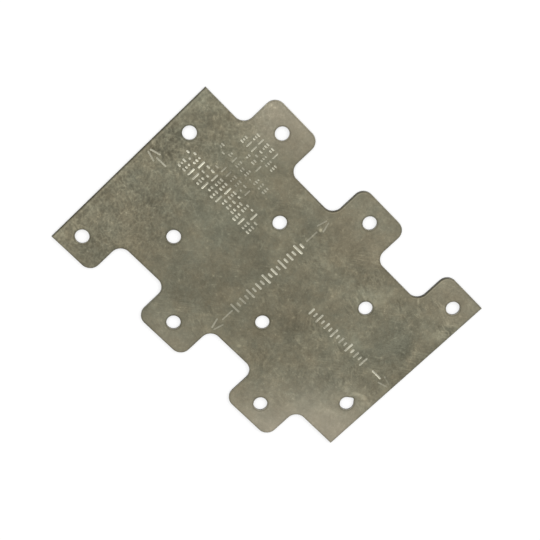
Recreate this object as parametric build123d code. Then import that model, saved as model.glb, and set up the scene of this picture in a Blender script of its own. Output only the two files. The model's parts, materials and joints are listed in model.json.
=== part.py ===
"""Lateral tie plate: one flat piece of galvanised sheet steel that is nailed across a framing joint.

The plates are cut one after another from a coil. One zigzag cut makes the tabs of one plate and the
notches of the next, so both long edges are the same line, one feed apart, and nothing is wasted.

Units are millimetres. X runs along the plate, Y across it, and Z points out of the stamped face.
The origin is the centre of the back face, which lies flat on the framing.
"""

from build123d import *
import os

INCH = 25.4

# Sheet: 20 gauge steel with its zinc coat
sheet_thickness = 0.95

# Long edges: tabs and notches of equal width, so that neighbouring plates fit into each other
tab_width = 0.75 * INCH
tab_depth = 0.5 * INCH
body_width = 2.0 * INCH
corner_radius = 3.4
tabs_per_edge = 3

# Nail holes: two in each row, one row at the middle of every tab
hole_diameter = 4.3
hole_to_tab_tip = 0.25 * INCH
hole_to_notch_floor = 0.5 * INCH
hole_to_plate_end = 0.25 * INCH

# Edges: the punch draws the stamped face down a little all the way round, wider than it is deep
rollover_width = 0.25
rollover_depth = 0.12

rows = 2 * tabs_per_edge
plate_length = (rows - 1) * tab_width + 2 * hole_to_plate_end
feed_length = body_width + tab_depth


def row_centres():
    """X of each nail row, from the left end of the plate to the right end."""
    return [(row - (rows - 1) / 2) * tab_width for row in range(rows)]


def side_of_tab(row):
    """The long edge on which a row has its tab: -1 for the lower edge, +1 for the upper one."""
    return -1 if row % 2 == 0 else 1


def cut_points(middle_y):
    """Corners of one zigzag cut across the coil, which runs tab_depth / 2 either side of middle_y."""
    left_end, right_end = -plate_length / 2, plate_length / 2
    points = []
    for row, centre_x in enumerate(row_centres()):
        y = middle_y + side_of_tab(row) * tab_depth / 2
        from_x = left_end if row == 0 else centre_x - tab_width / 2
        to_x = right_end if row == rows - 1 else centre_x + tab_width / 2
        points += [(from_x, y), (to_x, y)]
    return points


def plate_outline():
    """Face between two neighbouring cuts, closed by the straight edges of the coil."""
    with BuildSketch() as outline:
        with BuildLine():
            lower = FilletPolyline(*cut_points(-feed_length / 2), radius=corner_radius)
            upper = FilletPolyline(*cut_points(feed_length / 2), radius=corner_radius)
            Line(lower @ 0, upper @ 0)
            Line(lower @ 1, upper @ 1)
        make_face()
    return outline.sketch


def nail_hole_centres():
    """Two holes in each row: one near the tip of its tab, one in from the floor of its notch."""
    tab_tip_y = body_width / 2 + tab_depth
    notch_floor_y = body_width / 2
    centres = []
    for row, centre_x in enumerate(row_centres()):
        side = side_of_tab(row)
        centres.append((centre_x, side * (tab_tip_y - hole_to_tab_tip)))
        centres.append((centre_x, -side * (notch_floor_y - hole_to_notch_floor)))
    return centres


def tie_plate():
    """The punched plate, with drawn-down edges on its stamped face and sharp ones on its back."""
    with BuildPart() as plate:
        with BuildSketch():
            add(plate_outline())
            with Locations(*nail_hole_centres()):
                Circle(hole_diameter / 2, mode=Mode.SUBTRACT)
        extrude(amount=sheet_thickness)
        stamped_face = plate.faces().sort_by(Axis.Z)[-1]
        chamfer(stamped_face.edges(), rollover_width, rollover_depth, reference=stamped_face)
    return plate.part


os.makedirs("parts", exist_ok=True)
export_step(tie_plate(), "parts/tie_plate.step")
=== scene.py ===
"""Dresses the lateral tie plate: punched galvanised sheet with coined marks, a pale stage and a camera.

The sheet is one mesh, grown by geometry nodes. One tree lays out the coined strokes along guide lines,
one presses a hollow for each, one draws the zigzag outline and the nail holes as curves, one sweeps the
sheared wall along them, and the last fills both faces and welds it all. Lengths are in metres.
"""

import json
import math

import bpy
from bpy.props import FloatProperty, FloatVectorProperty, IntProperty, PointerProperty
from mathutils import Matrix, Vector


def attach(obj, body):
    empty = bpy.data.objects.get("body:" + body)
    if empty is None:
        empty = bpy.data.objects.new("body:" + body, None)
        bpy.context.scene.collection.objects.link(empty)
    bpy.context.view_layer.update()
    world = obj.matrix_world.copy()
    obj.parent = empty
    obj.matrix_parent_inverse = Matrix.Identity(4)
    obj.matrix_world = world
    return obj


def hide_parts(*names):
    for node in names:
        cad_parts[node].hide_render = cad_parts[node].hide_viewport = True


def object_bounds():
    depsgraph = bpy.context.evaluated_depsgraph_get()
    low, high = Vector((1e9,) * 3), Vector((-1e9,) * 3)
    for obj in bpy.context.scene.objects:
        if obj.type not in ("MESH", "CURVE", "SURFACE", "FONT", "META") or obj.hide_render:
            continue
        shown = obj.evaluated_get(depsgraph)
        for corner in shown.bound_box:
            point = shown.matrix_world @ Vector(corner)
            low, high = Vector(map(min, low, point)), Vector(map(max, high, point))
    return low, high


bl_info = {
    "name": "Lateral Tie Plate",
    "version": (1, 0, 0),
    "blender": (4, 5, 0),
    "location": "3D View > Sidebar > Tie Plate",
    "description": "Makes a galvanised lateral tie plate with coined marks, and its stage",
    "category": "Add Mesh",
}

MM = 0.001
NODE = "tie_plate"
BODY = "root"

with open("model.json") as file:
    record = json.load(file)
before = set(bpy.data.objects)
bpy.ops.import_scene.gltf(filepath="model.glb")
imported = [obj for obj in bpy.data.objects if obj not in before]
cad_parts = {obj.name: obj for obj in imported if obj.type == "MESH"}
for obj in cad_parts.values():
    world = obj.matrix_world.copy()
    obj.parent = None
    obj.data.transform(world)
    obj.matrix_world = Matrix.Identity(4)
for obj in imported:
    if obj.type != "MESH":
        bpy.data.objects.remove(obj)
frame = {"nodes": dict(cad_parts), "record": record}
CAD_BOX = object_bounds()

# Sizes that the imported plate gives: its box, and the nail pattern of its left half
PLATE_SIZE = CAD_BOX[1] - CAD_BOX[0]
NAILS = next(mount for mount in frame["record"]["mounts"] if mount["name"] == "left_nails")
TAB_WIDTH = NAILS["dims"]["spacing_x_mm"] * MM / 2
HOLE_DIAMETER = NAILS["dims"]["hole_r_mm"] * MM * 2
HALF_NAIL_SPACING = NAILS["dims"]["spacing_y_mm"] * MM / 2
NAILS_OFF_CENTRE = abs(NAILS["pos_m"][1])
ROWS = 2 * round(PLATE_SIZE.x / TAB_WIDTH / 2)


def tab_depth_of_frame():
    """Depth of a tab: how much further the left end reaches at its tab than at its notch."""
    just_inside = CAD_BOX[0].x + 0.01 * MM
    ys = [vertex.co.y for vertex in frame["nodes"][NODE].data.vertices if vertex.co.x < just_inside]
    return abs(min(ys)) - abs(max(ys))


# Sizes, colours and stage that a user may change


def length_property(name, description, default):
    """A length in metres, given in millimetres."""
    return FloatProperty(name=name, description=description, default=default * MM, unit="LENGTH")


def angle_property(name, description, default):
    """An angle in radians, given in degrees."""
    default = math.radians(default)
    return FloatProperty(name=name, description=description, default=default, subtype="ANGLE")


def colour_property(name, description, *default):
    """An opaque linear colour."""
    options = {"subtype": "COLOR", "size": 4, "min": 0.0, "max": 1.0}
    return FloatVectorProperty(name=name, description=description, default=(*default, 1.0), **options)


class TiePlateSizes(bpy.types.PropertyGroup):
    """Sizes of the punched sheet and of the strokes coined into it."""

    corner_radius: length_property("Corner Radius", "Radius of the corners of tabs and notches", 3.4)
    rollover_width: length_property("Rollover Width", "Width of the bend in the face at a cut", 0.25)
    rollover_depth: length_property("Rollover Depth", "How far a cut draws the face down", 0.12)
    edge_band: length_property("Edge Band", "Width of the flat faces inside each rollover", 0.45)
    break_recess: length_property("Break Recess", "How far back the torn part of a wall lies", 0.03)
    polished_share: FloatProperty(
        name="Polished Share",
        description="Share of the thickness that the punch cuts smooth before the rest tears",
        default=0.45,
        min=0.15,
        max=0.85,
        subtype="FACTOR",
    )
    stroke_depth: length_property("Stroke Depth", "Depth of a stroke struck at full strength", 0.12)
    scale_pitch: length_property("Scale Pitch", "Distance between the ticks of a scale", 25.4 / 16)
    code_pitch: length_property("Code Pitch", "Distance between groups in a coded row", 1.8)
    dash_length: length_property("Dash Length", "Longest dash without its round ends", 0.8)
    seed: IntProperty(
        name="Seed",
        description="Picks the dashes of the coded rows and how hard each stroke is struck",
        default=7,
    )


class TiePlateFinish(bpy.types.PropertyGroup):
    """Colours of the galvanised sheet."""

    green_zinc: colour_property("Green-Grey Zinc", "Cooler patches of the coat", 0.202, 0.198, 0.144)
    brown_zinc: colour_property("Brown-Grey Zinc", "Warmer patches of the coat", 0.221, 0.197, 0.134)
    bloomed_zinc: colour_property("Bloomed Zinc", "Coat under a pale bloom", 0.216, 0.194, 0.15)
    # The struck colour is partly the real burnish of a stroke and partly a painted highlight on it
    struck_zinc_and_highlight: colour_property("Struck Zinc", "Coat that a stroke has polished", 0.64, 0.62, 0.5)
    # The wall colours are partly bare steel's own and partly painted shade: both are far darker than
    # bare steel, for the shade on the walls
    polished_steel_and_shade: colour_property("Polished Steel", "Smooth part of a wall", 0.085, 0.08, 0.068)
    torn_steel_and_shade: colour_property("Torn Steel", "Rough part of a wall", 0.04, 0.037, 0.031)


class TiePlateStage(bpy.types.PropertyGroup):
    """Camera and floor. The camera's bearing and heading are measured from the X axis."""

    camera_distance: length_property("Camera Distance", "How far the camera is from its aim", 399.0)
    camera_tilt: angle_property("Camera Tilt", "How far it looks off straight down", 18.4)
    camera_bearing: angle_property("Camera Bearing", "Where it stands, seen from its aim", 148.04)
    camera_heading: angle_property("Camera Heading", "What runs to the right in the picture", 45.15)
    focal_length: FloatProperty(
        name="Focal Length",
        description="Lens for a sensor 36 mm wide",
        default=88.6,
        unit="CAMERA",
    )
    floor_colour: colour_property("Floor Colour", "Colour of the floor", 0.92, 0.92, 0.92)


# Node tree helpers


def shown_socket(sockets, key):
    """The socket of that name, or in that place, among those that a node shows."""
    shown = [socket for socket in sockets if socket.enabled]
    return shown[key] if isinstance(key, int) else next(s for s in shown if s.name == key)


class Value:
    """What comes out of a node. Arithmetic with it adds another node, for numbers or for vectors."""

    def __init__(self, tree, socket):
        self.tree = tree
        self.socket = socket
        self.is_vector = socket.type in {"VECTOR", "RGBA"}
        self.work = tree.vector if self.is_vector else tree.math

    def __add__(self, other):
        return self.work("ADD", self, other)

    def __sub__(self, other):
        return self.work("SUBTRACT", self, other)

    def __rsub__(self, other):
        return self.work("SUBTRACT", other, self)

    def __mul__(self, number):
        if self.is_vector:
            inputs = {0: self, "Scale": number}
            return self.tree.out("ShaderNodeVectorMath", inputs, operation="SCALE")
        return self.tree.math("MULTIPLY", self, number)

    def __rtruediv__(self, number):
        return self.tree.math("DIVIDE", number, self)

    def __mod__(self, number):
        return self.tree.math("MODULO", self, number)

    def __neg__(self):
        return self * -1.0

    def __lt__(self, number):
        return self.tree.compare("LESS_THAN", self, number)

    def __gt__(self, number):
        return self.tree.compare("GREATER_THAN", self, number)


class Tree:
    """A node tree written from top to bottom. Each method adds one node, or one group, and links it."""

    def __init__(self, tree):
        self.tree = tree
        self.start = None

    @classmethod
    def group(cls, name, kind, inputs, output):
        """A new node group with typed inputs and one output: geometry, or a number in a material."""
        made = cls(bpy.data.node_groups.new(name, f"{kind}NodeTree"))
        new_socket = made.tree.interface.new_socket
        for socket, socket_type in inputs.items():
            new_socket(socket, in_out="INPUT", socket_type=f"NodeSocket{socket_type}")
        output_type = {"Geometry": "Geometry", "Shader": "Float"}[kind]
        new_socket(output, in_out="OUTPUT", socket_type=f"NodeSocket{output_type}")
        made.start = made.add("NodeGroupInput")
        return made

    def __getitem__(self, name):
        """The group's input of that name."""
        return Value(self, self.start.outputs[name])

    def add(self, kind, inputs=None, **settings):
        """Adds a node, and feeds its inputs by name or place."""
        node = self.tree.nodes.new(kind)
        for name, value in settings.items():
            setattr(node, name, value)
        for key, value in (inputs or {}).items():
            self.feed(shown_socket(node.inputs, key), value)
        return node

    def feed(self, socket, value):
        """Links a socket to what comes out of a node, or sets it to anything else."""
        if isinstance(value, Value):
            self.tree.links.new(value.socket, socket)
        else:
            socket.default_value = value

    def out(self, kind, inputs=None, output=0, **settings):
        """Adds a node and returns one of its outputs."""
        return Value(self, shown_socket(self.add(kind, inputs, **settings).outputs, output))

    def outs(self, kind, inputs=None, **settings):
        """Adds a node and returns all its outputs by name."""
        node = self.add(kind, inputs, **settings)
        return {socket.name: Value(self, socket) for socket in node.outputs if socket.enabled}

    def place(self, group, inputs=None):
        """Adds another group and returns its output. Inputs that aren't given come from this tree's
        inputs of the same name."""
        node = self.tree.nodes.new(f"{self.tree.type.title()}NodeGroup")
        node.node_tree = group.tree
        given = inputs or {}
        for socket in node.inputs:
            self.feed(socket, given[socket.name] if socket.name in given else self[socket.name])
        return Value(self, node.outputs[0])

    def finish(self, value):
        """Feeds the group's output."""
        self.feed(self.add("NodeGroupOutput").inputs[0], value)
        return self

    def math(self, operation, *numbers):
        """A number worked out from one or two others."""
        return self.out("ShaderNodeMath", dict(enumerate(numbers)), operation=operation)

    def vector(self, operation, *vectors):
        """A vector, or the number of a length or a dot product, worked out from vectors."""
        return self.out("ShaderNodeVectorMath", dict(enumerate(vectors)), operation=operation)

    def compare(self, operation, first, second):
        """Whether a number is less than, greater than or equal to another."""
        return self.out("FunctionNodeCompare", {"A": first, "B": second}, operation=operation)

    def xyz(self, x=0.0, y=0.0, z=0.0):
        """A vector with these coordinates."""
        return self.out("ShaderNodeCombineXYZ", {"X": x, "Y": y, "Z": z})

    def split(self, vector):
        """The X, Y and Z of a vector."""
        return self.outs("ShaderNodeSeparateXYZ", {"Vector": vector}).values()

    def left_of(self, direction):
        """The direction that lies to the left of another, seen from above."""
        return self.vector("CROSS_PRODUCT", self.xyz(z=1.0), direction)

    def remap(self, number, before, after, **settings):
        """A number moved from one range to another, and kept inside it."""
        (from_min, from_max), (to_min, to_max) = before, after
        ends = {"From Min": from_min, "From Max": from_max, "To Min": to_min, "To Max": to_max}
        return self.out("ShaderNodeMapRange", {"Value": number, **ends}, **settings)

    def eased(self, number, before, after):
        """The same as remap, with a soft start and end."""
        return self.remap(number, before, after, interpolation_type="SMOOTHSTEP")

    def choose(self, condition, if_false, if_true):
        """One of two numbers."""
        inputs = {"Switch": condition, "False": if_false, "True": if_true}
        return self.out("GeometryNodeSwitch", inputs, input_type="FLOAT")

    def random(self, low, high, draw):
        """A random number for each element. Each draw has its own seed."""
        inputs = {"Min": low, "Max": high, "Seed": self["Seed"] + float(draw)}
        return self.out("FunctionNodeRandomValue", inputs, data_type="FLOAT")

    def named(self, name, data_type="FLOAT"):
        """A named attribute."""
        return self.out("GeometryNodeInputNamedAttribute", {"Name": name}, data_type=data_type)

    def changed(self, geometry, kind, inputs=None, **settings):
        """Geometry that a node of this kind has changed."""
        return self.out(f"GeometryNode{kind}", {0: geometry} | (inputs or {}), **settings)

    def store(self, geometry, name, value, data_type="FLOAT", domain="POINT"):
        """Geometry that carries a value as a named attribute."""
        inputs = {"Name": name, "Value": value}
        settings = {"data_type": data_type, "domain": domain}
        return self.changed(geometry, "StoreNamedAttribute", inputs, **settings)

    def copied(self, piece, points):
        """A copy of a piece at each point."""
        copies = self.changed(points, "InstanceOnPoints", {"Instance": piece})
        return self.changed(copies, "RealizeInstances")

    def join(self, *pieces):
        """Several pieces of geometry as one, in their order."""
        node = self.add("GeometryNodeJoinGeometry")
        for piece in reversed(pieces):
            self.feed(node.inputs[0], piece)
        return Value(self, node.outputs[0])


# Guide lines of the coined marks. A line is one stroke, a scale carries ticks across it, and a code
# carries groups of dashes along it. Places and lengths are in millimetres on the stamped face.

LINE, SCALE, CODE = range(3)
TICK_STROKE = 0.9
BOLD_STROKE = 0.8
FINE_STROKE = 0.7
ARROW_STROKE = 0.76
BARB_LENGTH = 3.0
BARB_SPREAD = math.radians(16)
TIP_GAP = 0.46

# The long scale lies across the middle of the plate, and the other along its right half
MIDDLE = 0.3
LEVEL = 0.4

# Coded rows on the left half: level, first and last place, strength, height and width of stroke
CODED_ROWS = (
    (4.9, -42.9, -14.2, 0.9, 2.9, BOLD_STROKE),
    (8.5, -44.0, -14.5, 0.9, 2.9, BOLD_STROKE),
    (12.2, -34.9, -22.9, 0.5, 2.4, FINE_STROKE),
    (16.4, -38.4, -19.7, 0.55, 2.4, FINE_STROKE),
    (19.6, -30.7, -25.9, 0.55, 2.4, FINE_STROKE),
    (22.75, -35.2, -22.9, 0.7, 2.4, FINE_STROKE),
    (25.7, -33.2, -25.2, 0.7, 2.4, FINE_STROKE),
)


def guide(kind, start, end, strikes, height=0.0, width=TICK_STROKE):
    """One guide line, with the height and width of its strokes and how hard each end is struck."""
    ends = [(x * MM, y * MM, 0.0) for x, y in (start, end)]
    sizes = {"height": (height * MM,) * 2, "width": (width * MM,) * 2}
    return {"kind": (float(kind),) * 2, "ends": ends, "strike": strikes} | sizes


def arrow(tip, ahead, shaft, strike, barb_strike):
    """An open arrow: two barbs that almost meet at its tip, and a shaft some way behind them."""
    tip, ahead = Vector(tip), Vector(ahead)
    side = ahead.orthogonal()
    ends = tip - ahead * shaft[0], tip - ahead * shaft[1]
    lines = [guide(LINE, *ends, (strike, strike), width=ARROW_STROKE)]
    for hand in (-1, 1):
        start = tip + side * hand * TIP_GAP
        barb = side * hand * math.sin(BARB_SPREAD) - ahead * math.cos(BARB_SPREAD)
        ends = start, start + barb * BARB_LENGTH
        lines.append(guide(LINE, *ends, (barb_strike, barb_strike), width=ARROW_STROKE))
    return lines


def mark_guides():
    """Every guide line: an arrow at the left end, two scales between arrows, and the coded rows."""
    left, right, down, up = (-1, 0), (1, 0), (0, -1), (0, 1)
    guides = arrow((-52.0, 0.8), left, (3.0, 6.5), 0.6, 0.6)
    guides.append(guide(SCALE, (MIDDLE, -15.4), (MIDDLE, 12.5), (0.55, 1.0), height=4.1))
    guides += arrow((MIDDLE, -24.6), down, (4.0, 8.0), 0.4, 0.5)
    guides += arrow((MIDDLE, 23.0), up, (4.4, 8.4), 0.5, 0.4)
    guides.append(guide(SCALE, (17.6, LEVEL), (41.0, LEVEL), (0.8, 1.0), height=3.6))
    guides += arrow((52.4, LEVEL), right, (3.6, 7.0), 1.0, 0.5)
    for level, first, last, strike, height, width in CODED_ROWS:
        ends = (first, level), (last, level)
        guides.append(guide(CODE, *ends, (strike, strike), height, width))
    return guides


def guide_mesh(guides):
    """A mesh with an edge for each guide line, whose ends carry what its strokes need."""
    mesh = bpy.data.meshes.new("mark_guides")
    corners = [corner for line in guides for corner in line["ends"]]
    mesh.from_pydata(corners, [(n, n + 1) for n in range(0, len(corners), 2)], [])
    for name in ("kind", "height", "width", "strike"):
        attribute = mesh.attributes.new(f"mark_{name}", "FLOAT", "POINT")
        attribute.data.foreach_set("value", [value for line in guides for value in line[name]])
    return mesh


# Geometry: strokes along the guide lines

# Shorter ticks as shares of the longest, and in a coded row the share of bars, the share of dashes
# that are left out, and how many dashes lie above each other
SHORT_TICK = 0.5
MIDDLING_TICK = 0.75
BAR_SHARE = 0.25
GAP_SHARE = 0.2
DASHES = 3


def stroke_layout_tree():
    """A point for each stroke, which carries its direction and the half length of its straight part."""
    inputs = {"Guides": "Geometry", "Seed": "Int"}
    inputs |= dict.fromkeys(("Scale Pitch", "Code Pitch", "Dash Length"), "Float")
    tree = Tree.group("Stroke Layout", "Geometry", inputs, "Strokes")
    height, width = tree.named("mark_height"), tree.named("mark_width")

    def only(kind):
        """The input that picks the guides of one kind."""
        return {"Selection": tree.compare("EQUAL", tree.named("mark_kind"), kind)}

    def with_stroke(points, direction, half_length, domain="POINT"):
        points = tree.store(points, "direction", direction, "FLOAT_VECTOR", domain)
        return tree.store(points, "half_length", half_length, domain=domain)

    def spaced(kind, pitch):
        """Points at even distances along the guides of one kind, and the guides' direction there."""
        curve = tree.changed(tree["Guides"], "MeshToCurve", only(kind))
        inputs = {"Curve": curve, "Length": pitch}
        points = tree.outs("GeometryNodeCurveToPoints", inputs, mode="LENGTH")
        return points["Points"], points["Tangent"]

    def half_of(share):
        """Half the length of a stroke that, with its round ends, fills this share of the height."""
        return (height * share - width) * 0.5

    # Plain lines: one stroke for each guide
    lines = tree.changed(tree["Guides"], "SeparateGeometry", only(LINE), domain="EDGE")
    ends = tree.outs("GeometryNodeInputMeshEdgeVertices")
    run = ends["Position 2"] - ends["Position 1"]
    half_run = tree.vector("LENGTH", run) * 0.5
    lines = with_stroke(lines, tree.vector("NORMALIZE", run), half_run, "EDGE")
    lines = tree.changed(lines, "MeshToPoints", mode="EDGES")

    # Scales: every fourth tick is long, every second middling and the rest short
    points, along = spaced(SCALE, tree["Scale Pitch"])
    number = tree.out("GeometryNodeInputIndex")
    every_second, every_fourth = (tree.compare("EQUAL", number % step, 0.0) for step in (2.0, 4.0))
    share = tree.choose(every_fourth, tree.choose(every_second, SHORT_TICK, MIDDLING_TICK), 1.0)
    ticks = with_stroke(points, tree.left_of(along), half_of(share))

    # Codes: now and then a bar across the guide, and otherwise a few dashes above each other
    points, tangent = spaced(CODE, tree["Code Pitch"])
    groups = tree.store(points, "along", tangent, "FLOAT_VECTOR")
    groups = tree.store(groups, "is_bar", tree.random(0.0, 1.0, 0) < BAR_SHARE, "BOOLEAN")
    inputs = {"Geometry": groups, "Selection": tree.named("is_bar", "BOOLEAN")}
    bars, stacks = tree.outs("GeometryNodeSeparateGeometry", inputs, domain="POINT").values()
    along = tree.named("along", "FLOAT_VECTOR")
    across = tree.left_of(along)
    bars = with_stroke(bars, across, half_of(1.0))
    inputs = {"Geometry": stacks, "Amount": DASHES}
    copies = tree.outs("GeometryNodeDuplicateElements", inputs, domain="POINT")
    rise = (copies["Duplicate Index"] - (DASHES - 1) / 2) * half_of(1.0)
    dashes = tree.changed(copies["Geometry"], "SetPosition", {"Offset": across * rise})
    is_missing = tree.random(0.0, 1.0, 1) < GAP_SHARE
    dashes = tree.changed(dashes, "DeleteGeometry", {"Selection": is_missing}, domain="POINT")
    dashes = with_stroke(dashes, along, tree["Dash Length"] * tree.random(0.1, 0.5, 2))

    strokes = tree.join(lines, ticks, bars, dashes)
    strength = tree.named("mark_strike") * tree.random(0.7, 1.0, 3)
    return tree.finish(tree.store(strokes, "mark_strike", strength))


# Geometry: one pressed hollow for each stroke

# Radii are shares of half the width of a stroke, and the polish is full from this share of its depth
HOLLOW_SIDES = 16
HOLLOW_RINGS = 5
FLOOR_RADIUS = 0.3
COLLAR_RADIUS = 1.0 + (1.0 - FLOOR_RADIUS) / (HOLLOW_RINGS - 1)
FULL_POLISH = 0.55


def pressed_strokes_tree():
    """Round-ended hollows at the stroke points, each inside a flat collar at the face's level."""
    inputs = {"Strokes": "Geometry", "Stroke Depth": "Float"}
    tree = Tree.group("Pressed Strokes", "Geometry", inputs, "Hollows")
    position = tree.out("GeometryNodeInputPosition")

    # A round hollow of radius 1 and depth 1, turned so that no corner lies on its own Y axis
    sides = {"Vertices": HOLLOW_SIDES, "Side Segments": HOLLOW_RINGS}
    radii = {"Radius Top": COLLAR_RADIUS, "Radius Bottom": FLOOR_RADIUS}
    cone = tree.outs("GeometryNodeMeshCone", sides | radii, fill_type="NGON")
    hollow = tree.changed(cone["Mesh"], "DeleteGeometry", {"Selection": cone["Top"]}, domain="FACE")
    hollow = tree.changed(hollow, "FlipFaces")
    hollow = tree.changed(hollow, "Transform", {"Rotation": (0.0, 0.0, math.pi / HOLLOW_SIDES)})
    x, y, _ = tree.split(position)
    level = tree.eased(tree.vector("LENGTH", tree.xyz(x, y)), (FLOOR_RADIUS, 1.0), (-1.0, 0.0))
    hollow = tree.store(hollow, "hollow_shape", tree.xyz(x, y, level), "FLOAT_VECTOR")

    # Each copy is widened to its stroke, and its two halves are drawn apart along the stroke
    copies = tree.copied(hollow, tree.store(tree["Strokes"], "centre", position, "FLOAT_VECTOR"))
    along, across, level = tree.split(tree.named("hollow_shape", "FLOAT_VECTOR"))
    half_width = tree.named("mark_width") * 0.5
    strike = tree.named("mark_strike")
    ahead = along * half_width + tree.math("SIGN", along) * tree.named("half_length")
    direction = tree.named("direction", "FLOAT_VECTOR")
    in_plane = direction * ahead + tree.left_of(direction) * (across * half_width)
    sunk = tree.xyz(z=level * strike * tree["Stroke Depth"])
    place = tree.named("centre", "FLOAT_VECTOR") + in_plane + sunk
    copies = tree.changed(copies, "SetPosition", {"Position": place})

    # The blow has polished the floor and the lower half of the slope alike. The zinc material paints a
    # highlight over this polish, and painted shade on the upper slope round it
    polish = tree.remap(level, (-FULL_POLISH, 0.0), (1.0, 0.0))
    return tree.finish(tree.store(copies, "struck", polish * strike))


# Geometry: the cuts, with the metal on their left

ARC_STEPS = 10
HOLE_STEPS = 64

# How strong the painted shade along the rim of a cut is. The zinc material paints it as darker zinc, and
# the steel reads it to make the hole walls paler
OUTLINE_RIM_SHADE = 1.0
HOLE_RIM_SHADE = 1.5

CUT_SIZES = ("Length", "Width", "Tab Width", "Tab Depth", "Corner Radius")
NAIL_SIZES = ("Hole Diameter", "Half Nail Spacing", "Nails Off Centre")

# A small bulge in the rim of one hole at the right end, where a nail has caught it
NICK_PLACE = (47.9 * MM, -10.57 * MM, 0.0)
NICK_DIRECTION = (0.1, 0.99)
NICK_REACH = 1.4 * MM
NICK_DEPTH = 0.5 * MM


def cuts_tree():
    """The zigzag outline and the nail holes as closed curves."""
    inputs = {"Rows": "Int"} | dict.fromkeys(CUT_SIZES + NAIL_SIZES, "Float")
    tree = Tree.group("Cuts", "Geometry", inputs, "Curves")
    rows, index = tree["Rows"], tree.out("GeometryNodeInputIndex")

    def points_at(count, x, y):
        """So many points, each at the place that its number gives."""
        line = tree.out("GeometryNodeMeshLine", {"Count": count, "Offset": (MM, 0.0, 0.0)})
        return tree.changed(line, "SetPosition", {"Position": tree.xyz(x, y)})

    def tab_side(row):
        """-1 for a row with its tab on the lower edge, and 1 for one with its tab on the upper."""
        return row % 2.0 * 2.0 - 1.0

    # The outline has two corners for each row on its lower cut, and goes back along the upper one
    corners = rows * 4.0
    back_index = corners - 1.0 - index
    corner = tree.math("MINIMUM", index, back_index)
    row = tree.math("FLOOR", corner * 0.5)
    x = (row + corner % 2.0 - rows * 0.5) * tree["Tab Width"]
    half_length = tree["Length"] * 0.5
    x = tree.math("MAXIMUM", tree.math("MINIMUM", x, half_length), -half_length)
    half_feed = (tree["Width"] - tree["Tab Depth"]) * 0.5
    middle = half_feed * tree.choose(index < back_index, 1.0, -1.0)
    outline = points_at(corners, x, tab_side(row) * (tree["Tab Depth"] * 0.5) + middle)
    outline = tree.changed(outline, "MeshToCurve")
    outline = tree.changed(outline, "SetSplineCyclic", {"Cyclic": True})

    # Every corner is rounded, except those at the ends of the two cuts
    from_end = tree.math("MINIMUM", corner, corners * 0.5 - 1.0 - corner)
    radius = tree.choose(from_end < 0.5, tree["Corner Radius"], 0.0)
    inputs = {"Count": ARC_STEPS, "Radius": radius}
    outline = tree.changed(outline, "FilletCurve", inputs, mode="POLY")
    outline = tree.store(outline, "crush", OUTLINE_RIM_SHADE)

    # Each row has one nail hole in its tab and one inside its notch
    row = tree.math("FLOOR", index * 0.5)
    in_tab = tree.compare("EQUAL", index % 2.0, 0.0)
    spacing = tree["Half Nail Spacing"]
    y = tab_side(row) * (tree["Nails Off Centre"] + tree.choose(in_tab, -spacing, spacing))
    centres = points_at(rows * 2.0, (row - (rows - 1.0) * 0.5) * tree["Tab Width"], y)
    inputs = {"Resolution": HOLE_STEPS, "Radius": tree["Hole Diameter"] * 0.5}
    circle = tree.changed(tree.out("GeometryNodeCurvePrimitiveCircle", inputs), "ReverseCurve")
    holes = tree.copied(circle, centres)
    away = tree.vector("DISTANCE", tree.out("GeometryNodeInputPosition"), NICK_PLACE)
    bulge = tree.xyz(*NICK_DIRECTION) * tree.eased(away, (0.0, NICK_REACH), (NICK_DEPTH, 0.0))
    holes = tree.changed(holes, "SetPosition", {"Offset": bulge})
    return tree.finish(tree.join(outline, tree.store(holes, "crush", HOLE_RIM_SHADE)))


# Geometry: the wall that a punch leaves

ROLL_STEPS = 5
WALL_SIZES = ("Rollover Width", "Rollover Depth", "Edge Band", "Polished Share", "Break Recess")


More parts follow.
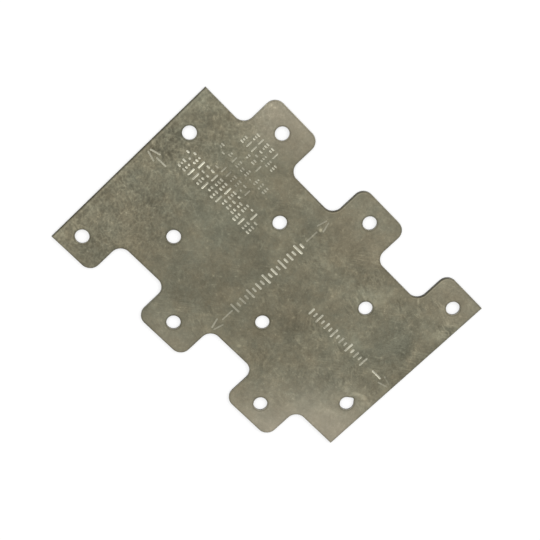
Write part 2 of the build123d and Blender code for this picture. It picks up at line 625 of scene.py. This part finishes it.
def sheared_walls_tree():
    """A wall along each cut: flat band, rollover, polished part, break and torn part."""
    inputs = {"Curves": "Geometry"} | dict.fromkeys(("Thickness", *WALL_SIZES), "Float")
    tree = Tree.group("Sheared Walls", "Geometry", inputs, "Walls")
    position = tree.out("GeometryNodeInputPosition")

    # The section, from the face down to the back: X is the inset from the cut and Y the height
    face, recess = tree["Thickness"], tree["Break Recess"]
    roll_width, roll_depth = tree["Rollover Width"], tree["Rollover Depth"]
    rim_width, roll_foot = roll_width + tree["Edge Band"], face - roll_depth
    break_top = face * (1.0 - tree["Polished Share"])
    wall = (
        tree.xyz(0.0, roll_foot),
        tree.xyz(0.0, break_top),
        tree.xyz(recess, break_top - recess * 2.0),
        tree.xyz(recess, 0.0),
    )
    quarter = {"Resolution": ROLL_STEPS + 1, "Start Angle": math.pi / 2, "Sweep Angle": math.pi / 2}
    arc = tree.out("GeometryNodeCurveArc", quarter | {"Radius": 1.0})
    scale = tree.xyz(roll_width, roll_depth, 1.0)
    inputs = {"Translation": tree.xyz(roll_width, roll_foot), "Scale": scale}
    pieces = [tree.changed(arc, "Transform", inputs)]
    band = tree.xyz(rim_width, face), tree.xyz(roll_width, face)
    for start, end in (band, *zip(wall, wall[1:])):
        pieces.append(tree.out("GeometryNodeCurvePrimitiveLine", {"Start": start, "End": end}))
    section = tree.join(*pieces)

    # It is swept as an upright line, whose Y points down in the sweep, and its points are then set in
    # from the cut along the mitre of the two runs that meet there, so corners keep the full width
    inset, level, _ = tree.split(position)
    section = tree.store(section, "inset", inset)
    section = tree.store(section, "rim", tree.remap(inset, (0.0, rim_width), (1.0, 0.0)))
    section = tree.changed(section, "SetPosition", {"Position": tree.xyz(y=-level)})

    def neighbour(offset):
        """Place of another point of the same curve."""
        index = tree.out("GeometryNodeOffsetPointInCurve", {"Offset": offset}, "Point Index")
        inputs = {"Index": index, "Value": position}
        return tree.out("GeometryNodeFieldAtIndex", inputs, data_type="FLOAT_VECTOR", domain="POINT")

    runs = position - neighbour(-1), neighbour(1) - position
    before, after = (tree.left_of(tree.vector("NORMALIZE", run)) for run in runs)
    mitre = (before + after) * (1.0 / (tree.vector("DOT_PRODUCT", before, after) + 1.0))
    curves = tree.store(tree["Curves"], "mitre", mitre, "FLOAT_VECTOR")
    curves = tree.changed(curves, "SetCurveNormal", mode="Z_UP")
    walls = tree.changed(curves, "CurveToMesh", {"Profile Curve": section})
    offset = tree.named("mitre", "FLOAT_VECTOR") * tree.named("inset")
    walls = tree.changed(walls, "SetPosition", {"Offset": offset})
    # The rim's mask for the painted shade: its strength at the cut, fading to 0 at the inner edge of the
    # band
    return tree.finish(tree.store(walls, "crushed", tree.named("rim") * tree.named("crush")))


# Geometry: the whole sheet

# Points this close are joined, folds past this angle stay sharp, and where the normal's Z is smaller
# than this the surface is wall and not face
WELD = 0.001 * MM
SHARP_FOLD = math.radians(40)
STEEPEST_FACE = 0.3

# Attributes that only the making needs
LAYOUT_NAMES = ("mark_*", "hollow_shape", "direction", "half_length", "centre", "along", "is_bar")
WALL_NAMES = ("crush", "inset", "rim", "mitre")


def sheet_tree(values):
    """The whole sheet. The names of its inputs, and of its trees' inputs, are those of the values."""
    types = {int: "Int", float: "Float", bpy.types.Material: "Material"}
    inputs = {"Guides": "Geometry"} | {name: types[type(value)] for name, value in values.items()}
    tree = Tree.group("Punched Sheet", "Geometry", inputs, "Sheet")
    strokes = tree.place(stroke_layout_tree())
    hollows = tree.place(pressed_strokes_tree(), {"Strokes": strokes})
    walls = tree.place(sheared_walls_tree(), {"Curves": tree.place(cuts_tree())})

    def lifted(geometry, height):
        return tree.changed(geometry, "Transform", {"Translation": tree.xyz(z=height)})

    def welded(*pieces):
        return tree.changed(tree.join(*pieces), "MergeByDistance", {"Distance": WELD})

    # Each face is filled inside the open edges at its level
    rims = welded(walls, lifted(hollows, tree["Thickness"]))
    _, _, height = tree.split(tree.out("GeometryNodeInputPosition"))
    is_open = tree.compare("EQUAL", tree.out("GeometryNodeInputMeshEdgeNeighbors"), 1.0)
    is_high = height > tree["Thickness"] * 0.5

    def filled(which):
        selection = tree.out("FunctionNodeBooleanMath", {0: is_open, 1: is_high}, operation=which)
        loops = tree.changed(rims, "MeshToCurve", {"Selection": selection})
        return tree.changed(loops, "FillCurve", mode="TRIANGLES")

    back = tree.changed(filled("NIMPLY"), "FlipFaces")
    sheet = welded(rims, lifted(filled("AND"), tree["Thickness"]), back)

    # Smooth all over, apart from the folds that really are sharp
    sheet = tree.changed(sheet, "SetShadeSmooth", {"Shade Smooth": True}, domain="FACE")
    fold = tree.out("GeometryNodeInputMeshEdgeAngle", output="Unsigned Angle")
    inputs = {"Selection": fold > SHARP_FOLD, "Shade Smooth": False}
    sheet = tree.changed(sheet, "SetShadeSmooth", inputs, domain="EDGE")
    for name in LAYOUT_NAMES + WALL_NAMES:
        sheet = tree.changed(sheet, "RemoveAttribute", {"Name": name}, pattern_mode="WILDCARD")

    sheet = tree.changed(sheet, "RealizeInstances")
    _, _, slope = tree.split(tree.out("GeometryNodeInputNormal"))
    is_wall = tree.math("ABSOLUTE", slope) < STEEPEST_FACE
    sheet = tree.changed(sheet, "SetMaterial", {"Material": tree["Zinc"]})
    inputs = {"Selection": is_wall, "Material": tree["Steel"]}
    return tree.finish(tree.changed(sheet, "SetMaterial", inputs))


# Effects that the materials share


def soft_patch_group():
    """A soft-edged oval, 1 at its centre. A very narrow one is a scratch."""
    inputs = dict.fromkeys(("Vector", "Centre", "Size", "Turn"), "Vector")
    tree = Tree.group("Soft Patch", "Shader", inputs, "Mask")
    places = {"Location": tree["Centre"], "Rotation": tree["Turn"], "Scale": tree["Size"]}
    inputs = {"Vector": tree["Vector"]} | places
    local = tree.out("ShaderNodeMapping", inputs, vector_type="TEXTURE")
    inside = tree.out("ShaderNodeTexGradient", {"Vector": local}, "Fac", gradient_type="SPHERICAL")
    return tree.finish(tree.eased(inside, (0.0, 0.8), (0.0, 1.0)))


def metal_grain_group():
    """Cloudy variation about 0, which an even grain has as much of at every size below the largest."""
    inputs = {"Vector": "Vector"} | dict.fromkeys(("Largest", "Octaves", "Evenness", "Seed"), "Float")
    tree = Tree.group("Metal Grain", "Shader", inputs, "Cloud")
    noise = {
        "Vector": tree["Vector"],
        "W": tree["Seed"],
        "Scale": 1.0 / tree["Largest"],
        "Detail": tree["Octaves"],
        "Roughness": tree["Evenness"],
    }
    value = tree.out("ShaderNodeTexNoise", noise, "Fac", noise_dimensions="4D")
    return tree.finish(value * 2.0 - 1.0)


def pale_threads_group():
    """Thin winding lines, 1 at the middle of each. Drawn out along one direction, they are rub marks."""
    inputs = dict.fromkeys(("Vector", "Size", "Turn"), "Vector") | {"Breadth": "Float"}
    tree = Tree.group("Pale Threads", "Shader", inputs, "Mask")
    inputs = {"Vector": tree["Vector"], "Rotation": tree["Turn"], "Scale": tree["Size"]}
    local = tree.out("ShaderNodeMapping", inputs, vector_type="TEXTURE")
    noise = {"Vector": local, "Scale": 1.0, "Detail": 1.0, "Roughness": 0.6}
    away = tree.math("ABSOLUTE", tree.out("ShaderNodeTexNoise", noise, "Fac") - 0.5)
    return tree.finish(tree.remap(away, (0.0, tree["Breadth"]), (1.0, 0.0)))


# Materials. Places and sizes on the plate are in millimetres.

PATCH_THICKNESS = 10.0


class Material(Tree):
    """A material's tree, which has the object's own coordinates and one shader."""

    def __init__(self, name, inputs, effects=None):
        self.material = bpy.data.materials.new(name)
        self.material.use_nodes = True
        super().__init__(self.material.node_tree)
        self.tree.nodes.clear()
        self.effects = effects
        self.where = self.out("ShaderNodeTexCoord", output="Object")
        self.shader = self.add("ShaderNodeBsdfPrincipled", inputs)
        self.reflected = Value(self, self.shader.outputs["BSDF"])
        self.surface = self.add("ShaderNodeOutputMaterial").inputs["Surface"]
        self.feed(self.surface, self.reflected)

    def set(self, name, value):
        """Feeds one of the shader's inputs."""
        self.feed(self.shader.inputs[name], value)

    def bump(self, height, distance, strength):
        """Gives the surface a fine relief."""
        inputs = {"Height": height, "Distance": distance * MM, "Strength": strength}
        self.set("Normal", self.out("ShaderNodeBump", inputs))

    def attribute(self, name):
        """A number that the mesh carries."""
        return self.out("ShaderNodeAttribute", output="Fac", attribute_name=name)

    def with_patches(self, value, vector, patches):
        """A value changed in soft patches: centre X and Y, two radii, turn in degrees and amount."""
        for x, y, long_radius, short_radius, degrees, amount in patches:
            inputs = {
                "Vector": vector,
                "Centre": (x * MM, y * MM, PLATE_SIZE.z),
                "Size": (long_radius * MM, short_radius * MM, PATCH_THICKNESS * MM),
                "Turn": (0.0, 0.0, math.radians(degrees)),
            }
            value = self.place(self.effects["patch"], inputs) * amount + value
        return value

    def grain(self, largest, octaves, evenness, draw):
        """Metal grain whose largest clouds are this wide. Each draw has its own seed."""
        inputs = {"Vector": self.where, "Largest": largest * MM, "Octaves": octaves}
        return self.place(self.effects["grain"], inputs | {"Evenness": evenness, "Seed": draw})

    def threads(self, length, spacing, degrees, breadth):
        """Pale threads of this length, spacing and breadth, turned by an angle."""
        inputs = {
            "Vector": self.where,
            "Size": (length * MM, spacing * MM, spacing * MM),
            "Turn": (0.0, 0.0, math.radians(degrees)),
            "Breadth": breadth,
        }
        return self.place(self.effects["threads"], inputs)

    def band(self, value, foot, first, last, end):
        """1 where a value lies between first and last, which fades to 0 at the foot and at the end."""
        rise = self.remap(value, (foot, first), (0.0, 1.0))
        return rise - self.remap(value, (last, end), (0.0, 1.0))

    def mixed(self, factor, first, second):
        """Two colours mixed."""
        inputs = {"Factor": factor, "A": first, "B": second}
        return self.out("ShaderNodeMix", inputs, "Result", data_type="RGBA")


# Grains of the zinc: size of the largest clouds, octaves, evenness and draw
CLOUDS = (14.0, 6.0, 0.9, 0.0)
MOTTLE = (1.2, 2.0, 0.8, 3.0)
TINTS = (24.0, 6.0, 0.85, 9.0)
WEAR = (7.0, 4.0, 0.8, 12.0)
RUBBED_PLACES = (9.0, 4.0, 0.8)

# Distances from the left end over which the left end's look fades out, and the right half's sets in
LEFT_FADE = (12.0, 32.0)
RIGHT_FADE = (55.0, 80.0)

# How strongly the clouds and the mottle show: all over, and how much more towards either end
CLOUD_STRENGTH = 0.78
MORE_CLOUD_AT_ENDS = 0.35
MOTTLE_STRENGTH = 0.15
MORE_MOTTLE_AT_LEFT = 0.3
MORE_MOTTLE_AT_RIGHT = 0.05

# Threads at the left end, and rub marks: length, spacing, turn in degrees and breadth of a thread. The
# rub marks' strength and draw follow. A pattern of threads has a mean of this many times its breadth,
# which is taken off the rub marks, so that they don't brighten the plate.
WINDING_THREADS = (1.9, 1.4, -50.0, 0.13)
WINDING_STRENGTH = 0.26
RUB_MARKS = (
    (12.0, 0.9, 36.0, 0.08, 0.28, 5.0),
    (7.0, 1.2, -52.0, 0.08, 0.16, 6.0),
    (3.4, 1.4, -20.0, 0.16, 0.44, 8.0),
)
MEAN_OF_THREADS = 2.5

# Ragged edges of the bloom and the patches: how wide the rags are, and how far they reach
RAG_WIDTH = 7.0
RAG_REACH = 9.0

# Patches where the zinc has a pale bloom, near the edges
BLOOM = (
    (58, -34, 44, 36, 0, 0.82),
    (-34, 37, 26, 16, 0, 0.48),
    (12, -38, 60, 16, 0, 0.24),
    (10, 38, 90, 22, 0, 0.15),
    (47, 36, 18, 14, 0, 0.14),
)

# Patches where it is only brighter, or darker
PATCHES = (
    (-50, 22, 20, 14, 0, 0.14),
    (-33, 20, 8, 8, 0, 0.14),
    (-42, -2, 16, 8, 0, 0.1),
    (-47, -37, 9, 5, 0, 0.12),
    (8, -25, 16, 5, 0, 0.12),
    (28, -38, 10, 5, 0, 0.16),
    (30, 5, 18, 12, 0, 0.14),
    (29, 19.5, 13, 4.5, 45, 0.3),
    (35, 12, 6, 5, 0, 0.12),
    (12, 14, 14, 2.6, -4, 0.2),
    (18.4, 8, 2.6, 10, 0, 0.22),
    (50, 22, 2.4, 18, 0, 0.2),
    (42, -21, 13, 1.8, 28, 0.2),
    (44, -25, 9, 4, 0, 0.12),
    (52, -1.5, 2.6, 4, 0, 0.3),
    (-50, 6, 10, 9, 0, -0.22),
    (-28, -15, 9, 6, 0, -0.1),
    (7, 1, 13, 7, 0, -0.12),
    (17, -9, 14, 6, 0, -0.14),
    (20, 19, 6, 8, 0, -0.14),
    (47, -17, 8, 5, 0, -0.14),
    (-8, -6, 22, 34, 0, -0.06),
)

# Patches where it is browner, or greener
WARM_PATCHES = (
    (12, 23, 18, 12, 0, 0.6),
    (-38, -19, 16, 10, 0, 0.5),
    (-28, 33, 14, 8, 0, 0.4),
    (-14, -16, 18, 16, 0, 0.2),
    (42, 14, 10, 14, 0, -0.4),
    (-28, 2, 22, 10, 0, -0.4),
)

# Fine scratches and small bright dings, given as patches
SCRATCHES = (
    (47.2, -8.6, 1.9, 1.1, 36, 0.55),
    (49.6, -7.6, 2.6, 1.1, 14, 0.5),
    (44.2, -9.4, 2.2, 1.3, 0, 0.3),
    (10, -23, 0.9, 0.8, 0, 0.5),
    (-49, -29, 2.5, 0.3, 20, 0.3),
    (-46, -31, 2, 0.3, -35, 0.25),
    (42, 12, 3.5, 0.3, 75, 0.2),
    (24, -21, 3, 0.3, -15, 0.2),
    (-22, -12, 4, 0.3, 40, 0.15),
    (-8, 4, 2.5, 0.3, 110, 0.15),
    (33, 9, 3, 0.3, 25, 0.18),
    (38.3, 25.7, 1.6, 0.6, -40, 0.5),
    (0.7, 19.8, 0.8, 0.7, -45, 1.3),
    (-0.2, 14.8, 0.9, 0.6, -45, 0.35),
)

# Patches that cover the stretches of cut that get a painted shade line with a painted highlight inside
# it
SHADED_CUT_PATCHES = (
    (38.2, 31.8, 6, 14, 0, 1),
    (0.1, 31.8, 5, 12, 0, 0.8),
    (-5, 25.4, 12, 4, 0, 0.4),
)


def surface_tone(tree, cloud, mottle, bare, from_end, at_right):
    """How much brighter or darker than its colour the zinc is: clouds, mottle, threads, rub marks."""
    at_left = tree.eased(from_end, LEFT_FADE, (1.0, 0.15))
    at_ends = tree.math("MAXIMUM", at_left, at_right)
    tone = cloud * (at_ends * MORE_CLOUD_AT_ENDS + CLOUD_STRENGTH) - 0.02
    tone += mottle * (at_right * bare * MORE_MOTTLE_AT_RIGHT + MOTTLE_STRENGTH)

    # The palest specks of the mottle stand out
    tone += tree.remap(mottle, (0.2, 0.6), (0.0, 0.4))

    # Towards the left end the mottle is strongest, and pale threads wind through it
    winding = tree.threads(*WINDING_THREADS) * WINDING_STRENGTH
    tone += (winding + mottle * MORE_MOTTLE_AT_LEFT - 0.11) * at_left

    # Rub marks in three directions, here and there, and more of them towards the right end
    rubbed = (at_right * 0.5 + 0.8) * bare
    for length, spacing, degrees, breadth, strength, draw in RUB_MARKS:
        here = tree.remap(tree.grain(*RUBBED_PLACES, draw), (0.0, 0.3), (0.0, strength)) * rubbed
        marks = tree.threads(length, spacing, degrees, breadth) - breadth * MEAN_OF_THREADS
        tone += marks * here

    # All in all, pale flecks differ more from the rest than dark ones
    return tree.math("EXPONENT", tone) - 1.0


def painted_cut_shade_and_highlight(tree, crushed, from_end):
    """A painted shade line and a painted highlight inside it, at the left end and along the listed
    stretches of cut.
    The rim's mask runs from 0 at the inner edge of the band to 1 at the outline."""
    cut_shade_here = tree.with_patches(0.0, tree.where, SHADED_CUT_PATCHES)
    painted_shade = tree.remap(crushed, (0.45, 0.75), (0.0, 0.45)) * cut_shade_here
    painted_shade += tree.remap(from_end, (0.15, 0.45), (0.4, 0.0))
    painted_highlight = tree.band(crushed, 0.0, 0.05, 0.3, 0.5) * cut_shade_here * 0.45
    painted_highlight += tree.band(from_end, 0.35, 0.6, 0.95, 1.2) * 0.2
    return painted_shade, painted_highlight


def zinc_material(finish, effects):
    """Dull galvanised face: brown and green-grey clouds, fine mottle, pale patches, bright strokes that
    are partly a painted highlight, and painted shade along the cuts and round the strokes.
    """
    tree = Material("galvanised_face", {"Metallic": 1.0}, effects)
    cloud, mottle = tree.grain(*CLOUDS), tree.grain(*MOTTLE)
    crushed, struck = tree.attribute("crushed"), tree.attribute("struck")
    x, _, _ = tree.split(tree.where)
    from_end = x * (1 / MM) + PLATE_SIZE.x / 2 / MM
    at_right = tree.remap(from_end, RIGHT_FADE, (0.0, 1.0))

    # A pale bloom with ragged edges, which smooths what it covers
    noise = {"Vector": tree.where, "Scale": 1 / (RAG_WIDTH * MM), "Detail": 3.0}
    pull = tree.out("ShaderNodeTexNoise", noise, "Color") - (0.5, 0.5, 0.5)
    ragged = tree.where + pull * (RAG_REACH * MM)
    bloom = tree.with_patches(0.0, ragged, BLOOM)
    bare = tree.remap(bloom, (0.1, 0.6), (1.0, 0.2))
    tone = surface_tone(tree, cloud, mottle, bare, from_end, at_right) + bloom

    # Patches with ragged edges, and scratches with clean ones
    tone = tree.with_patches(tone, ragged, PATCHES)
    tone = tree.with_patches(tone, tree.where, SCRATCHES)

    # Colour of the coat
    brownness = tree.remap(tree.grain(*TINTS), (-0.25, 0.25), (0.0, 1.0))
    brownness = tree.with_patches(brownness, ragged, WARM_PATCHES)
    colour = tree.mixed(brownness, finish.green_zinc, finish.brown_zinc)
    colour = tree.mixed(bloom, colour, finish.bloomed_zinc)

    # Painted shade: darker along the rim of every cut and on the upper slope of each stroke's hollow,
    # plus the painted shade line along the left end and the listed stretches of cut
    painted_cut_shade, painted_cut_highlight = painted_cut_shade_and_highlight(tree, crushed, from_end)
    painted_shade = tree.remap(crushed, (0.1, 0.9), (0.0, 0.3)) + painted_cut_shade
    painted_shade += tree.band(struck, 0.0, 0.08, 0.1, 0.3) * 0.35
    tone += painted_cut_highlight
    colour *= (tone + 1.0) * (1.0 - painted_shade)

    # A stroke is bright where its blow has polished it, partly real burnish and partly a painted
    # highlight, and worn in places, most at the right
    worn = tree.remap(tree.grain(*WEAR), (-0.25, 0.2), (at_right * -0.4 + 0.4, 1.0))
    polished = tree.remap(struck, (0.1, 0.75), (0.0, 1.0)) * worn
    tree.set("Base Color", tree.mixed(polished, colour, finish.struck_zinc_and_highlight))
    tree.set("Roughness", tone * -0.08 + polished * -0.1 + 0.45)
    tree.bump(mottle + cloud, distance=0.01, strength=0.5)
    return tree.material


# Grain of the broken metal, levels between which the polished part of a wall turns into the torn one,
# and how far the grain moves them
BREAK_GRAIN = (0.4, 3.0, 0.8, 0.0)
BREAK_LEVELS = (0.46 * MM, 0.54 * MM)
BREAK_RAGS = 0.12 * MM


def steel_material(finish, effects):
    """Sheared wall: a rubbed upper part with upright streaks over a darker torn part, both coloured far
    darker than bare steel, partly as painted shade.
    """
    tree = Material("sheared_edge", {"Metallic": 1.0}, effects)
    x, y, z = tree.split(tree.where)
    noise = {"Vector": tree.xyz(x, y, z * 0.1), "Scale": 6.0 / MM, "Detail": 2.0}
    streaks = tree.out("ShaderNodeTexNoise", noise, "Fac")
    rough = tree.grain(*BREAK_GRAIN)
    polished = tree.remap(rough * BREAK_RAGS + z, BREAK_LEVELS, (0.0, 1.0))
    # Painted shade in part: both wall colours are far darker than bare steel
    colour = tree.mixed(polished, finish.torn_steel_and_shade, finish.polished_steel_and_shade)

    # The walls of the holes are paler, because the punch has dragged zinc down them
    shade = tree.remap(streaks, (0.3, 0.7), (0.7, 1.25))
    shade *= tree.remap(tree.attribute("crushed"), (1.0, HOLE_RIM_SHADE), (1.0, 4.0))
    tree.set("Base Color", colour * shade)
    tree.set("Roughness", tree.remap(polished, (0.0, 1.0), (0.6, 0.36)))
    tree.bump(streaks * 0.3 + rough * 0.5, distance=0.03, strength=0.6)
    return tree.material


# Operators


def sheet_values(sizes, zinc, steel):
    """What the sheet's tree takes, by the names of its inputs."""
    values = {
        "Rows": ROWS,
        "Length": PLATE_SIZE.x,
        "Width": PLATE_SIZE.y,
        "Thickness": PLATE_SIZE.z,
        "Tab Width": TAB_WIDTH,
        "Tab Depth": tab_depth_of_frame(),
        "Hole Diameter": HOLE_DIAMETER,
        "Half Nail Spacing": HALF_NAIL_SPACING,
        "Nails Off Centre": NAILS_OFF_CENTRE,
        "Zinc": zinc,
        "Steel": steel,
    }
    for key in TiePlateSizes.__annotations__:
        values[sizes.bl_rna.properties[key].name] = getattr(sizes, key)
    return values


def grown_mesh(context, tree, values):
    """The plain mesh that a tree grows from the guide lines."""
    guides = bpy.data.objects.new("mark_guides", guide_mesh(mark_guides()))
    context.scene.collection.objects.link(guides)
    modifier = guides.modifiers.new("punched_sheet", "NODES")
    modifier.node_group = tree
    for socket in tree.interface.items_tree:
        if socket.in_out == "INPUT" and socket.name in values:
            modifier[socket.identifier] = values[socket.name]
    evaluated = guides.evaluated_get(context.evaluated_depsgraph_get())
    mesh = bpy.data.meshes.new_from_object(evaluated)
    guides.modifiers.remove(modifier)
    bpy.data.objects.remove(guides)
    if not mesh.polygons:
        raise RuntimeError("the punched sheet came out empty")

    # The guide lines leave an empty slot before those of the sheet
    if mesh.materials[0] is None:
        mesh.materials.pop(index=0)
    return mesh


class TIEPLATE_OT_sheet(bpy.types.Operator):
    """Make the punched and coined sheet in the place of the plain one"""

    bl_idname = "tieplate.sheet"
    bl_label = "Make Sheet"

    def execute(self, context):
        scene = context.scene
        finish = scene.tie_plate_finish
        effects = {
            "patch": soft_patch_group(),
            "grain": metal_grain_group(),
            "threads": pale_threads_group(),
        }
        zinc, steel = zinc_material(finish, effects), steel_material(finish, effects)
        values = sheet_values(scene.tie_plate_sizes, zinc, steel)
        mesh = grown_mesh(context, sheet_tree(values).tree, values)
        mesh.name = "tie_plate_sheet"
        sheet = bpy.data.objects.new("tie_plate_sheet", mesh)
        scene.collection.objects.link(sheet)
        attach(sheet, BODY)
        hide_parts(NODE)
        return {"FINISHED"}


class TIEPLATE_OT_stage(bpy.types.Operator):
    """Make the floor, the light and the camera"""

    bl_idname = "tieplate.stage"
    bl_label = "Make Stage"

    def execute(self, context):
        stage = context.scene.tie_plate_stage
        make_floor(context.scene, stage)
        make_light(context.scene)
        make_camera(context.scene, stage)
        context.scene.view_settings.view_transform = "Standard"
        return {"FINISHED"}


WHITE = (1.0, 1.0, 1.0, 1.0)

# Half the width of the floor, and how much of what the camera sees of it is plain white
FLOOR_REACH = 3.0
WHITE_SHARE = 0.6


def make_floor(scene, stage):
    """A wide matt floor under the plate, which looks white to the camera and keeps the shadow."""
    signs = ((-1, -1), (1, -1), (1, 1), (-1, 1))
    corners = [(x * FLOOR_REACH, y * FLOOR_REACH, 0.0) for x, y in signs]
    mesh = bpy.data.meshes.new("floor")
    mesh.from_pydata(corners, [], [(0, 1, 2, 3)])
    floor = bpy.data.objects.new("floor", mesh)
    scene.collection.objects.link(floor)
    inputs = {"Base Color": stage.floor_colour, "Roughness": 0.9, "Specular IOR Level": 0.1}
    tree = Material("pale_floor", inputs)
    rays = tree.outs("ShaderNodeLightPath")
    seen = tree.math("MAXIMUM", rays["Is Camera Ray"], rays["Is Glossy Ray"])
    seen = tree.math("MAXIMUM", seen, rays["Is Transmission Ray"])
    white = tree.out("ShaderNodeEmission", {"Color": WHITE, "Strength": 1.0})
    inputs = {0: seen * WHITE_SHARE, 1: tree.reflected, 2: white}
    tree.feed(tree.surface, tree.out("ShaderNodeMixShader", inputs))
    mesh.materials.append(tree.material)


# The room's brightness level with the plate and overhead, and on its dark and its bright side
ROOM_LEVELS = (1.06, 0.94)
ROOM_SIDES = (0.8, 1.12)
BRIGHT_SIDE = (-0.5, 0.87, 0.0)

# Soft lamps: name, bearing and tilt in degrees of the way to each, width and height, and watts
LAMPS = (
    ("window", 90.0, 55.0, (0.9, 0.5), 3.0),
    ("side_window", 192.0, 42.0, (0.5, 0.25), 1.0),
)
LAMP_DISTANCE = 0.8


def way_to(bearing, tilt):
    """Unit vector with this bearing from the X axis, tilted from straight up."""
    away = math.sin(tilt)
    return Vector((away * math.cos(bearing), away * math.sin(bearing), math.cos(tilt)))


def make_light(scene):
    """A white room, darker overhead and on the lower right, and two soft lamps on the other sides."""
    world = bpy.data.worlds.new("studio")
    world.use_nodes = True
    world.node_tree.nodes.clear()
    tree = Tree(world.node_tree)
    direction = tree.out("ShaderNodeTexCoord", output="Generated")
    _, _, z = tree.split(direction)
    side = tree.vector("DOT_PRODUCT", direction, BRIGHT_SIDE)
    level = tree.remap(z, (0.0, 1.0), ROOM_LEVELS) * tree.remap(side, (-1.0, 1.0), ROOM_SIDES)
    light = tree.out("ShaderNodeBackground", {"Color": WHITE, "Strength": level})
    tree.add("ShaderNodeOutputWorld", {"Surface": light})
    scene.world = world

    for name, bearing, tilt, size, energy in LAMPS:
        lamp = bpy.data.lights.new(name, "AREA")
        lamp.shape = "RECTANGLE"
        lamp.size, lamp.size_y = size
        lamp.energy = energy
        towards = way_to(math.radians(bearing), math.radians(tilt))
        holder = bpy.data.objects.new(name, lamp)
        holder.location = towards * LAMP_DISTANCE
        holder.rotation_euler = towards.to_track_quat("Z", "Y").to_euler()
        scene.collection.objects.link(holder)


# The point on the stamped face, near its middle, that the camera looks at
CAMERA_AIM = (-0.95 * MM, 0.49 * MM, PLATE_SIZE.z)


def make_camera(scene, stage):
    """The photograph's camera: it looks down at the plate's middle, tilted from its upper left."""
    back = way_to(stage.camera_bearing, stage.camera_tilt)
    right = Vector((math.cos(stage.camera_heading), math.sin(stage.camera_heading), 0.0))
    right = (right - back * right.dot(back)).normalized()
    data = bpy.data.cameras.new("camera")
    data.lens = stage.focal_length
    camera = bpy.data.objects.new("camera", data)
    camera.matrix_world = Matrix((right, back.cross(right), back)).transposed().to_4x4()
    camera.location = Vector(CAMERA_AIM) + back * stage.camera_distance
    scene.collection.objects.link(camera)
    scene.camera = camera


# Panel and registration


class TIEPLATE_PT_panel(bpy.types.Panel):
    """Lists the plate's sizes, colours and stage, and what makes them"""

    bl_label = "Tie Plate"
    bl_idname = "TIEPLATE_PT_panel"
    bl_space_type = "VIEW_3D"
    bl_region_type = "UI"
    bl_category = "Tie Plate"

    def draw(self, context):
        for name, group in PROPERTY_GROUPS.items():
            box = self.layout.box()
            for key in group.__annotations__:
                box.prop(getattr(context.scene, name), key)
        for operator in OPERATORS:
            self.layout.operator(operator.bl_idname)


PROPERTY_GROUPS = {
    "tie_plate_sizes": TiePlateSizes,
    "tie_plate_finish": TiePlateFinish,
    "tie_plate_stage": TiePlateStage,
}
OPERATORS = (TIEPLATE_OT_sheet, TIEPLATE_OT_stage)
CLASSES = (*PROPERTY_GROUPS.values(), *OPERATORS, TIEPLATE_PT_panel)


def register():
    """Adds the classes, and the scene's properties."""
    for cls in CLASSES:
        bpy.utils.register_class(cls)
    for name, group in PROPERTY_GROUPS.items():
        setattr(bpy.types.Scene, name, PointerProperty(type=group))


def unregister():
    """Takes away what register adds."""
    for name in PROPERTY_GROUPS:
        delattr(bpy.types.Scene, name)
    for cls in reversed(CLASSES):
        bpy.utils.unregister_class(cls)


def main():
    """Makes the plate and its stage."""
    register()
    bpy.ops.tieplate.sheet()
    bpy.ops.tieplate.stage()


if __name__ == "__main__":
    main()
